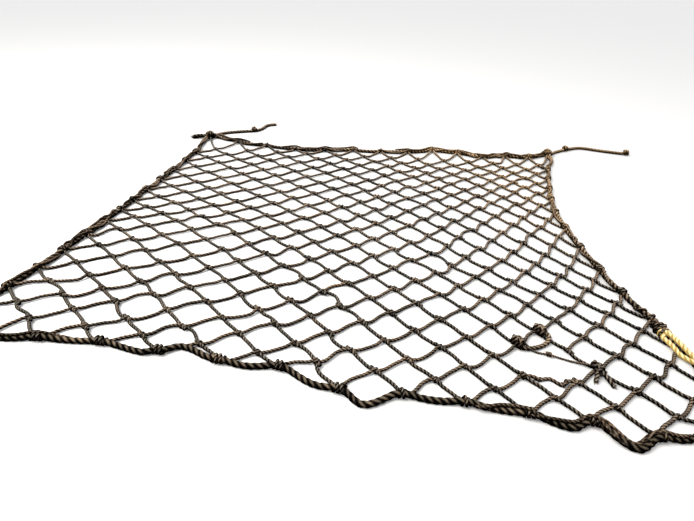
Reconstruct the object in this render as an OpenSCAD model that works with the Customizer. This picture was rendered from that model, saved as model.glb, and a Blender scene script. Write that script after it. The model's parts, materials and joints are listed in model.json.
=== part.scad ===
// Cargo climbing net: knotted diamond netting laced into a border rope, laid out on the ground.
// +Z is up and the origin is on the ground under the middle. +Y runs from the near border to the far one.

/* [Netting] */
// Diameter of the netting rope
mesh_rope_d = 20; // [14:1:21]
// Diameter of a netting knot
mesh_knot_d = 46; // [44:1:50]
// Width of the netting, between the side borders as they would hang straight
net_w = 2900; // [2400:10:3600]
// Depth of the netting, from its first row of knots to its last
net_d = 2590; // [2150:10:3200]
// How far a knot may sit from its true place in the pattern
knot_wander = 7; // [0:1:8]

/* [Border] */
// Diameter of the border rope
border_rope_d = 30; // [24:1:34]
// Diameter of a hitch that ties the netting to the border rope
hitch_d = 52; // [50:1:60]
// Diameter of the knot at each corner
corner_knot_d = 84; // [80:1:100]
// Length of the border rope's cut end at the far left corner
bitter_end_l = 125; // [80:5:160]

/* [Tethers] */
// Diameter of the two tether ropes
tether_d = 28; // [22:1:32]
// Diameter of a knot tied in a tether
tether_knot_d = 62; // [56:1:70]

/* [Repairs] */
// Diameter of the yellow lashing rope at the near right corner
lashing_d = 22; // [16:1:24]
// Diameter of the yellow rope's knot
lashing_knot_d = 70; // [60:1:80]
// Diameter of the two large knots at the mend
mend_knot_d = 62; // [56:1:66]
// Diameter of the thin cord across the mend
mend_cord_d = 9; // [6:1:12]

/* [Fits] */
// Gap between pieces that lie against each other
touch = 0.1; // [0.05:0.05:0.3]
// Gap round a knot for the strip that folds about it
fold_gap = 0.9; // [0.4:0.1:1]
// Gap between the border rope and the hole through a hitch
hitch_gap = 0.5; // [0.4:0.1:0.8]

/* [Hidden] */
$fn = 48;

// The pattern: knots lie where COLS + 1 columns and ROWS + 1 rows cross, on every second crossing
COLS = 26;
ROWS = 27;
// The rows of knots that the netting folds along; the strips between them are the moving bodies
FOLD_ROWS = [0, 8, 14, 20, ROWS];
STRIPS = [1, 2, 3, 4];

mesh_r = mesh_rope_d / 2;
border_r = border_rope_d / 2;
knot_r = mesh_knot_d / 2;
hitch_r = hitch_d / 2;
corner_r = corner_knot_d / 2;
// The netting's middle height: its hitches rest on the ground
lie_z = hitch_r;

// The plan was laid out at these two sizes, and stretches with net_w and net_d
PLAN_W = 2900;
PLAN_D = 2590;
across = net_w / PLAN_W;
deep = net_d / PLAN_D;
// The first row lies this far past half the depth, which puts the origin under the middle of the whole net
far_shift = -5;

// Side borders: [row, distance left or right of the origin]
LEFT_EDGE = [[0, -1270], [3, -1300], [6, -1340], [10, -1405], [14, -1450], [18, -1510], [22, -1585], [27, -1700]];
RIGHT_EDGE = [[0, 1720], [2, 1610], [4, 1550], [7, 1470], [10, 1405], [14, 1395], [18, 1440], [21, 1500], [27, 1500]];
// Far and near borders: [distance right of the origin, distance behind it]
FAR_EDGE = [[-1270, 1470], [-980, 1390], [-450, 1280], [0, 1330], [420, 1340], [620, 1420], [850, 1410], [1110, 1325],
    [1340, 1380], [1500, 1360], [1720, 1460]];
NEAR_EDGE = [[-1700, -1130], [-1460, -1135], [-1120, -1135], [-940, -1150], [-800, -1185], [-715, -1160],
    [-550, -1200], [-400, -1225], [-280, -1220], [-170, -1270], [-30, -1320], [90, -1370], [220, -1340],
    [440, -1360], [620, -1380], [780, -1420], [890, -1450], [970, -1420], [1060, -1500], [1160, -1480],
    [1300, -1455], [1500, -1365]];
// The rows turn clockwise towards the near border: [row, rise per unit of width]
ROW_SLOPE = [[0, 0], [8, 0], [12, -0.03], [16, -0.095], [20, -0.11], [24, -0.13], [27, -0.14]];
// The columns crowd to the right: [row, share of the width that the middle column is shifted]
COLUMN_SHIFT = [[0, 0.045], [10, 0.065], [16, 0.065], [27, 0.03]];

function row_name(r) = str("netting_row_", r < 10 ? "0" : "", r);

// ---- Plan geometry ----

// Index of the last entry of a [place, value] list whose place is at or below t
function step_of(list, t, i = 0) = i >= len(list) - 2 || list[i + 1][0] > t ? i : step_of(list, t, i + 1);
// Slope of a [place, value] list at entry i
function slope_at(list, i) =
    let (a = max(i - 1, 0), b = min(i + 1, len(list) - 1)) (list[b][1] - list[a][1]) / (list[b][0] - list[a][0]);
// Value at t on the smooth curve through a [place, value] list
function smooth(list, t) =
    let (i = step_of(list, t), span = list[i + 1][0] - list[i][0], u = (t - list[i][0]) / span)
    list[i][1] * (2 * u * u * u - 3 * u * u + 1) + list[i + 1][1] * (3 * u * u - 2 * u * u * u)
    + span * (slope_at(list, i) * (u * u * u - 2 * u * u + u) + slope_at(list, i + 1) * (u * u * u - u * u));

// Point on row r at x
function on_row(r, x) =
    [x, deep * (PLAN_D / 2 + far_shift - r * PLAN_D / ROWS + smooth(ROW_SLOPE, r) * x / across)];
function left_point(r) = on_row(r, across * smooth(LEFT_EDGE, r));
function right_point(r) = on_row(r, across * smooth(RIGHT_EDGE, r));
function far_point(x) = [x, deep * smooth(FAR_EDGE, x / across)];
function near_point(x) = [x, deep * smooth(NEAR_EDGE, x / across)];
function corner_point(right, near) =
    let (edge = near ? NEAR_EDGE : FAR_EDGE, end = edge[right ? len(edge) - 1 : 0])
    [across * end[0], deep * end[1]];

// A steady pseudo-random share from -1 to 1 for a crossing
function share(c, r, k) = let (s = sin(c * 127.1 + r * 311.7 + k * 74.7) * 43.7585) 2 * (s - floor(s)) - 1;
function is_fold_row(r) = len(search(r, FOLD_ROWS)) > 0;

// The near right corner takes the place of the right border's last crossing
LAST_RIGHT_ROW = 26;

// The crossing of column c and row r, on the ground plan
function crossing(c, r) =
    let (
        p = c / COLS,
        shifted = p + 4 * smooth(COLUMN_SHIFT, r) * p * (1 - p),
        x = left_point(r)[0] + (right_point(r)[0] - left_point(r)[0]) * shifted,
        wander = is_fold_row(r) || is_fold_row(r - 1) || is_fold_row(r + 1) ? 0 : knot_wander
    )
    is_corner(c, r) ? corner_point(c > 0, r > 0)
    : r == 0 ? far_point(x)
    : r == ROWS ? near_point(x)
    : c == 0 ? left_point(r)
    : c == COLS ? right_point(r)
    : on_row(r, x) + wander * [share(c, r, 1), share(c, r, 2)];

// ---- What stands at a crossing ----

// The mend: one knot and its four bars are gone, and the two knots beside the hole are large
GONE = [20, 24];
LARGE = [[20, 22], [19, 23]];
function is_large(c, r) = len([for (k = LARGE) if (k == [c, r]) 1]) > 0;
function is_border(c, r) = c == 0 || c == COLS || r == 0 || r == ROWS;
function is_corner(c, r) = (c == 0 || c == COLS) && r == 0 || c == COLS && r == LAST_RIGHT_ROW;
function radius_at(c, r) =
    is_corner(c, r) ? corner_r : is_border(c, r) ? hitch_r : is_large(c, r) ? mend_knot_d / 2 : knot_r;
// Height of the middle of a ball of radius r that rests on the ground, or on the netting's own level if smaller
function ball_z(r) = max(lie_z, r);

// ---- Plain shapes ----

// A straight rope between two points, which stops short of each by a distance of its own
module bar(a, b, short_a, short_b, d) {
    run = b - a;
    length = norm(run);
    translate(a + run * short_a / length)
        rotate([0, acos(run[2] / length), atan2(run[1], run[0])])
            cylinder(h = length - short_a - short_b, d = d);
}

// A rope along a level or sloping path, as one closed skin
module rope_along(path, d, sides) {
    last = len(path) - 1;
    rings = [
        for (i = [0 : last])
            let (
                ahead = path[min(i + 1, last)] - path[max(i - 1, 0)],
                way = ahead / norm(ahead),
                side = cross(way, [0, 0, 1]) / norm(cross(way, [0, 0, 1])),
                top = cross(side, way)
            )
            for (k = [0 : sides - 1]) path[i] + d / 2 * (side * cos(360 * k / sides) + top * sin(360 * k / sides))
    ];
    skin = [
        for (i = [0 : last - 1]) for (k = [0 : sides - 1])
            let (n = (k + 1) % sides)
            [i * sides + k, i * sides + n, (i + 1) * sides + n, (i + 1) * sides + k]
    ];
    ends = [[for (k = [sides - 1 : -1 : 0]) k], [for (k = [0 : sides - 1]) last * sides + k]];
    polyhedron(points = rings, faces = concat(skin, ends));
}

function lifted(p, z) = [p[0], p[1], z];

module ball(p, d) {
    translate(lifted(p, ball_z(d / 2))) sphere(d = d);
}

// ---- Netting ----

// Distance from a crossing's ball at which a bar of the row below or above it stops
function ball_stop(c, r, row) =
    radius_at(c, r) + (is_fold_row(r) && r < row && r > 0 ? fold_gap : touch);

// The strip that a row of netting belongs to
function strip_of(row) = row <= FOLD_ROWS[1] ? 1 : row <= FOLD_ROWS[2] ? 2 : row <= FOLD_ROWS[3] ? 3 : 4;
// The border rope's path beside crossing (c, r), as a bar of the given row meets it
function path_beside(c, r, row) =
    r == 0 && !is_corner(c, r) ? FAR_PATH
    : r == ROWS ? NEAR_PATH
    : c == 0 ? LEFT_PATHS[strip_of(row) - 1]
    : RIGHT_PATHS[strip_of(row) - 1];

// Distance from p to the stretch from a to b, and to a whole path
function gap_to(p, a, b) =
    let (t = max(0, min(1, (p - a) * (b - a) / ((b - a) * (b - a))))) norm(p - a - t * (b - a));
function gap_to_path(p, path) = min([for (i = [1 : len(path) - 1]) gap_to(p, path[i - 1], path[i])]);

// The first distance from p, at least stop, at which a bar's flat end is clear of a border rope
function clear_stop(p, way, path, stop) =
    let (
        end = p + stop * way,
        edge = mesh_r * [-way[1], way[0]],
        gap = min(gap_to_path(end + edge, path), gap_to_path(end - edge, path))
    )
    gap >= border_r + touch ? stop : clear_stop(p, way, path, stop + max(0.2, (border_r + touch - gap) / 2));

// How far from p two bars' flat ends are clear of each other, for bars that leave it towards a and b
function parted_stop(p, a, b) =
    let (cosine = (a - p) * (b - p) / norm(a - p) / norm(b - p))
    touch + mesh_r * (1 + cosine) / sqrt(1 - cosine * cosine);

function stop_at(c, r, toward_c, toward_r) =
    let (
        row = max(r, toward_r),
        p = crossing(c, r),
        q = crossing(toward_c, toward_r),
        twin_c = 2 * c - toward_c,
        parted = twin_c < 0 || twin_c > COLS ? 0 : parted_stop(p, q, crossing(twin_c, toward_r)),
        start = max(ball_stop(c, r, row), parted)
    )
    is_border(c, r) ? clear_stop(p, (q - p) / norm(q - p), path_beside(c, r, row), start) : start;

module netting_bar(c0, r0, c1, r1) {
    a = lifted(crossing(c0, r0), lie_z);
    b = lifted(crossing(c1, r1), lie_z);
    bar(a, b, stop_at(c0, r0, c1, r1), stop_at(c1, r1, c0, r0), mesh_rope_d);
}

// The border rope itself runs from the near right corner to the first hitch of the near border
function is_border_run(c, r) = r == ROWS && is_corner(c, r - 1);

// One row of netting rope: its bars from the row of knots above, and the knots that it ties
module netting_row(r) {
    color("#5b4c3f") {
        for (c = [(r + 1) % 2 : 2 : COLS])
            for (side = [-1, 1])
                if (c + side >= 0 && c + side <= COLS && [c, r - 1] != GONE && [c + side, r] != GONE
                    && !is_border_run(c, r))
                    netting_bar(c, r - 1, c + side, r);
        if (r < ROWS)
            for (c = [r % 2 : 2 : COLS])
                if (!is_border(c, r) && [c, r] != GONE && !is_large(c, r))
                    translate(lifted(crossing(c, r), lie_z)) sphere(d = mesh_knot_d);
    }
}

// ---- Border ----

// The crossings that a border rope is hitched at, in order
function far_stops() = [for (c = [2 : 2 : COLS - 2]) crossing(c, 0)];
function near_stops() = [for (c = [1 : 2 : COLS - 1]) crossing(c, ROWS)];
function side_stops(c, s) =
    [for (r = [FOLD_ROWS[s - 1] + 2 : 2 : min(FOLD_ROWS[s], ROWS - 1)]) if (!is_corner(c, r)) crossing(c, r)];

// The rope's direction at stop i: from the stop before to the stop after
function stop_way(stops, before, after, i) =
    let (
        a = i == 0 ? before : stops[i - 1],
        b = i == len(stops) - 1 ? after : stops[i + 1]
    ) (b - a) / norm(b - a);

// Half of the straight stretch of border rope inside a hitch
half_hitch = hitch_r + 3;
// How far the rope runs past the middle of the hitch at the end of its strip, inside that hitch
end_in_hitch = sqrt(hitch_r * hitch_r - pow(border_r + hitch_gap, 2)) - 1;

// The rope's path through its stops, straight within each hitch
function through(stops, before, after, last_is_end) = [
    for (i = [0 : len(stops) - 1])
        let (way = stop_way(stops, before, after, i), past = last_is_end && i == len(stops) - 1)
        each [stops[i] - half_hitch * way, stops[i] + (past ? end_in_hitch : half_hitch) * way]
];

// The point a given distance from a towards b
function toward(a, b, distance) = a + distance * (b - a) / norm(b - a);

function cross_path(stops, start, end) =
    let (clear = corner_r + touch, path = through(stops, start, end, false))
    concat([toward(start, path[0], clear)], path, [toward(end, path[len(path) - 1], clear)]);

// The points that strip s of a side border runs from and to
function side_top(c, s) = s == 1 ? corner_point(c > 0, false) : crossing(c, FOLD_ROWS[s - 1]);
function side_foot(c, s) = s == 4 ? corner_point(c > 0, true) : crossing(c, FOLD_ROWS[s] + 2);

function side_path(c, s) =
    let (
        stops = side_stops(c, s),
        path = through(stops, side_top(c, s), side_foot(c, s), s < 4),
        start = toward(side_top(c, s), path[0], s == 1 ? corner_r + touch : hitch_r + fold_gap),
        finish = s == 4 ? [toward(side_foot(c, s), path[len(path) - 1], corner_r + touch)] : []
    )
    concat([start], path, finish);

FAR_PATH = cross_path(far_stops(), corner_point(false, false), corner_point(true, false));
NEAR_PATH = cross_path(near_stops(), corner_point(false, true), corner_point(true, true));
LEFT_PATHS = [for (s = STRIPS) side_path(0, s)];
RIGHT_PATHS = [for (s = STRIPS) side_path(COLS, s)];

module border_rope(path) {
    color("#4a3c31") rope_along([for (p = path) lifted(p, lie_z)], border_rope_d, 12);
}

// Hitches round the border rope, as knots with the rope's own passage through them
module hitches(stops, before, after) {
    for (i = [0 : len(stops) - 1]) {
        way = stop_way(stops, before, after, i);
        translate(lifted(stops[i], lie_z))
            rotate([0, 90, atan2(way[1], way[0])])
                difference() {
                    sphere(r = hitch_r);
                    cylinder(h = 2 * hitch_d, r = border_r + hitch_gap, center = true);
                }
    }
}

module border_hitches(s) {
    color("#55473a") {
        for (c = [0, COLS])
            hitches(side_stops(c, s), side_top(c, s), side_foot(c, s));
        if (s == 1)
            hitches(far_stops(), corner_point(false, false), corner_point(true, false));
        if (s == 4)
            hitches(near_stops(), corner_point(false, true), corner_point(true, true));
    }
}

module corner_knot(right, near) {
    color("#4a3c31") ball(corner_point(right, near), corner_knot_d);
}

// The cut end of the border rope, which lies to the left of the far left corner knot
module border_bitter_end() {
    corner = corner_point(false, false);
    start = corner - [corner_r - 0.8, 0];
    color("#2f2823")
        rope_along([lifted(start, lie_z), lifted(start - [bitter_end_l * 0.6, 10], border_r + 4),
            lifted(start - [bitter_end_l, 5], border_r + 1)], border_rope_d, 12);
}

// ---- Tethers ----

// Routes on the ground from each far corner's middle
LEFT_TETHER = [[13, 38], [25, 70], [65, 120], [120, 160], [185, 190], [250, 215], [300, 235], [345, 255], [385, 285],
    [408, 335], [418, 385], [438, 430], [472, 458], [510, 470]];
RIGHT_TETHER = [[31, 26], [60, 50], [110, 95], [165, 135], [225, 175], [290, 210], [355, 240], [410, 245], [465, 232],
    [520, 212], [575, 195], [630, 180], [690, 165], [745, 155]];
tether_z = tether_d / 2 + 0.5;
// The points of each route that hold a knot
LEFT_KNOT_AT = 7;
RIGHT_KNOT_AT = 4;

module tether(corner, route) {
    color("#6d5a46")
        rope_along([for (p = route) lifted(corner + p, tether_z)], tether_d, 10);
}

// A knot round a tether, with the rope's passage through it
module tether_knot_at(corner, route, i) {
    way = route[i + 1] - route[i - 1];
    color("#5b4c3f")
        translate(lifted(corner + route[i], tether_knot_d / 2))
            rotate([0, 0, atan2(way[1], way[0])])
                difference() {
                    sphere(d = tether_knot_d);
                    translate([0, 0, tether_z - tether_knot_d / 2])
                        rotate([0, 90, 0])
                            cylinder(h = 2 * tether_knot_d, d = tether_d + 2, center = true);
                }
}

module end_knot(corner, route) {
    last = route[len(route) - 1];
    way = (last - route[len(route) - 2]) / norm(last - route[len(route) - 2]);
    color("#5b4c3f")
        translate(lifted(corner + last + (tether_knot_d / 2 + touch) * way, tether_knot_d / 2)) sphere(d = tether_knot_d);
}

// ---- Repairs ----

// The yellow rope lies doubled along the outside of the right border, from near row 21 to its knot near row 23
lashing_back = -860 * deep;
lashing_front = -1105 * deep;
border_x = right_point(22)[0];
// The first part lies against the hitch that it passes, and the second against the first
lane_x = border_x + hitch_r + lashing_d / 2 + touch;

module yellow_lashing() {
    color("#e6c65a")
        for (lane = [0, 1]) {
            x = lane_x + lane * (lashing_d + touch);
            translate([x, lashing_back, lie_z])
                rotate([90, 0, 0]) cylinder(h = lashing_back - lashing_front, d = lashing_d);
        }
}

module yellow_knot() {
    // It lies against the border rope and against the ends of both parts
    reach = lashing_knot_d / 2 + 2 * touch;
    color("#d9b64c") ball([border_x + border_r + reach, lashing_front - reach], lashing_knot_d);
}

module mend_knots() {
    color("#4a3c31") for (k = LARGE) ball(crossing(k[0], k[1]), mend_knot_d);
}

// The thin cord from the nearer large knot to the knot two columns right and one row nearer
MEND_FROM = [19, 23];
MEND_TO = [22, 24];
mend_cord_knot_d = 26;
// The cord lies this far above the netting's middle, over the bar beside it
mend_cord_rise = mesh_r + mend_cord_d / 2;
mend_cord_z = lie_z + mend_cord_rise;
function mend_cord_a() = lifted(crossing(MEND_FROM[0], MEND_FROM[1]), mend_cord_z);
function mend_cord_b() = lifted(crossing(MEND_TO[0], MEND_TO[1]), mend_cord_z);
function mend_cord_mid() = (mend_cord_a() * 0.6 + mend_cord_b() * 0.4);
// Distance from a ball's axis at which the cord's lower edge meets the ball
function cord_meets(ball_r, ball_middle) =
    sqrt(ball_r * ball_r - pow(mend_cord_z - mend_cord_d / 2 - ball_middle, 2)) + touch;

module mend_cord() {
    color("#8a7458") {
        large_r = mend_knot_d / 2;
        at_knot = mend_cord_knot_d / 2 + touch;
        bar(mend_cord_a(), mend_cord_mid(), cord_meets(large_r, ball_z(large_r)), at_knot, mend_cord_d);
        bar(mend_cord_mid(), mend_cord_b(), at_knot, cord_meets(knot_r, lie_z), mend_cord_d);
    }
}

module mend_cord_knot() {
    color("#9a8265") translate(mend_cord_mid()) sphere(d = mend_cord_knot_d);
}

// A length of netting rope spliced across the near side of the hole, between the knots beside it
SPLICE_FROM = [19, 25];
SPLICE_TO = [21, 25];
SPLICE_BELOW = [20, 26];

// How far from a knot the splice ends: clear of the bar that runs from the same knot to the one below the hole
function splice_stop(from, to) =
    let (parted = parted_stop(
        crossing(from[0], from[1]), crossing(to[0], to[1]), crossing(SPLICE_BELOW[0], SPLICE_BELOW[1])))
    max(knot_r + touch, parted);

module mend_splice() {
    a = lifted(crossing(SPLICE_FROM[0], SPLICE_FROM[1]), lie_z);
    b = lifted(crossing(SPLICE_TO[0], SPLICE_TO[1]), lie_z);
    color("#5b4c3f")
        bar(a, b, splice_stop(SPLICE_FROM, SPLICE_TO), splice_stop(SPLICE_TO, SPLICE_FROM), mesh_rope_d);
}

for (r = [1 : ROWS]) netting_row(r);
border_rope(FAR_PATH);  // far_border_rope
border_rope(NEAR_PATH);  // near_border_rope
for (s = STRIPS) border_rope(LEFT_PATHS[s - 1]);
for (s = STRIPS) border_rope(RIGHT_PATHS[s - 1]);
for (s = STRIPS) border_hitches(s);
corner_knot(false, false);  // corner_knot_far_left
corner_knot(true, false);  // corner_knot_far_right
corner_knot(false, true);  // corner_knot_near_left
corner_knot(true, true);  // corner_knot_near_right
border_bitter_end();
tether(corner_point(false, false), LEFT_TETHER);  // tether_left
tether_knot_at(corner_point(false, false), LEFT_TETHER, LEFT_KNOT_AT);  // tether_left_knot
tether(corner_point(true, false), RIGHT_TETHER);  // tether_right
tether_knot_at(corner_point(true, false), RIGHT_TETHER, RIGHT_KNOT_AT);  // tether_right_knot
end_knot(corner_point(true, false), RIGHT_TETHER);  // tether_right_end_knot
yellow_lashing();
yellow_knot();
mend_knots();
mend_cord();
mend_cord_knot();
mend_splice();
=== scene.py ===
"""Looks of the climbing net: laid rope, knots, hitches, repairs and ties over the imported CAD."""

import json
import math

import bmesh
import bpy
import numpy as np
from mathutils import Matrix, Vector


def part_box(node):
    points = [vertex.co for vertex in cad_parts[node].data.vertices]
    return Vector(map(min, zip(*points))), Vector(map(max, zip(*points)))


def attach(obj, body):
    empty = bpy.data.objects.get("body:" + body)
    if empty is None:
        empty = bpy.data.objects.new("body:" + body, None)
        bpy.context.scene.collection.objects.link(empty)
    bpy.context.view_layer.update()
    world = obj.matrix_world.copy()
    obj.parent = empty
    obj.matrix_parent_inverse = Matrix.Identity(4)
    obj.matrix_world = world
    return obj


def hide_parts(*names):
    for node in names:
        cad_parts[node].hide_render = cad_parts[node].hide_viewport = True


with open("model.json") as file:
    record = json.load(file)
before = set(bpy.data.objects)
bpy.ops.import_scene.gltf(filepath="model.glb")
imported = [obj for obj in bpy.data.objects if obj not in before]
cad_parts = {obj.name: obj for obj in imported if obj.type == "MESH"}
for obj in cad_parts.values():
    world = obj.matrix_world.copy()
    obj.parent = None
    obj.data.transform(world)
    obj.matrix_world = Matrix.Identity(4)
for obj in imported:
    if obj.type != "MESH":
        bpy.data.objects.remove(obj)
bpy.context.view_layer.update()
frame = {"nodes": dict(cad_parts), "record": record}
bodies = frame["record"]["behaviour"]["bodies"]
body_of = {node: body for body, members in bodies.items() for node in members}
rng = np.random.default_rng(27)

# ---- Sizes, in metres ----

# Diameters of the ropes, and of a loose yarn
NETTING_D = 0.0172
BORDER_D = 0.030
TETHER_D = 0.028
YELLOW_D = 0.022
CORD_D = 0.0105
YARN_D = 0.0024
# The CAD's netting knots are balls of this size
MESH_KNOT_D = 0.046

# Heights of the knots' middles
KNOT_Z = 0.0185
HITCH_Z = 0.0255
LARGE_KNOT_Z = 0.03
CORNER_Z = 0.036
CORNER_TURNS_Z = 0.040
TETHER_KNOT_Z = 0.029
YELLOW_KNOT_Z = 0.033
DOUBLE_KNOT_Z = 0.026
CORD_KNOT_Z = 0.014
# How far a lying rope, a lying yarn's middle and the lowest point of a mesh are above the ground
LYING = 0.0006
YARN_Z = 0.002
GROUND_GAP = 0.0003
NETTING_LIE = NETTING_D / 2 + LYING
BORDER_LIE = BORDER_D / 2 + LYING
TETHER_LIE = TETHER_D / 2 + 0.0005

# The run between two rings of a tube
STEP = 0.006
# The run in which a strand goes once round its rope, in rope diameters
LAY_PITCH = 3.1

UP = np.array([0.0, 0.0, 1.0])
ROWS = 27
STRIPS = 4
CORNER_KNOTS = (
    "corner_knot_far_left",
    "corner_knot_far_right",
    "corner_knot_near_left",
    "corner_knot_near_right",
)
# The length of border rope that has the yellow lashing beside it
LASHED_BORDER = "right_border_rope_4"


# ---- Camera ----

CAMERA_AT = Vector((0.0, -2.58, 1.433))
CAMERA_DOWN = math.radians(33.178)
CAMERA_ROLL = 0.0518
CAMERA_LENS = 24.29
CAMERA_SENSOR = 36


def add_camera():
    camera = bpy.data.cameras.new("camera")
    camera.sensor_width = CAMERA_SENSOR
    camera.lens = CAMERA_LENS
    holder = bpy.data.objects.new("camera", camera)
    bpy.context.scene.collection.objects.link(holder)
    ahead = Vector((0, math.cos(CAMERA_DOWN), -math.sin(CAMERA_DOWN)))
    level = Vector((1, 0, 0))
    above = level.cross(ahead)
    right = level * math.cos(CAMERA_ROLL) + above * math.sin(CAMERA_ROLL)
    top = right.cross(ahead)
    turn = Matrix((right, top, -ahead)).transposed().to_4x4()
    holder.matrix_world = Matrix.Translation(CAMERA_AT) @ turn
    bpy.context.scene.camera = holder


# ---- Vectors and curves ----


def unit(v):
    return v / np.linalg.norm(v)


def lifted(p, z):
    return np.array([p[0], p[1], z])


def hermite(p, q, way_p, way_q, count):
    """Points from p to q that leave along way_p and arrive along way_q."""
    t = np.linspace(0, 1, count)[:, None]
    return (
        p * (2 * t**3 - 3 * t**2 + 1)
        + way_p * (t**3 - 2 * t**2 + t)
        + q * (3 * t**2 - 2 * t**3)
        + way_q * (t**3 - t**2)
    )


def smooth_path(points, step):
    """A Catmull-Rom curve through the points, with a ring about every step."""
    points = np.asarray(points, float)
    out = []
    last = len(points) - 1
    for i in range(last):
        before = points[max(i - 1, 0)]
        after = points[min(i + 2, last)]
        p, q = points[i], points[i + 1]
        count = max(2, int(round(np.linalg.norm(q - p) / step)) + 1)
        out.append(hermite(p, q, (q - before) / 2, (after - p) / 2, count)[:-1])
    out.append(points[-1:])
    return np.concatenate(out)


def helix(middle, axis, side, radius, turns, length, step=STEP, flat=1.0):
    """Turns round an axis through the middle, which begin on the given side."""
    axis = unit(axis)
    side = unit(side - axis * (side @ axis))
    other = np.cross(axis, side)
    count = max(8, int(turns * 2 * math.pi * radius / step))
    t = np.linspace(0, 1, count)[:, None]
    angle = 2 * math.pi * turns * t
    path = middle + axis * (t - 0.5) * length
    path = path + radius * (side * np.cos(angle) + other * np.sin(angle))
    path[:, 2] = middle[2] + (path[:, 2] - middle[2]) * flat
    return path


# ---- Rope meshes ----


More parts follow.
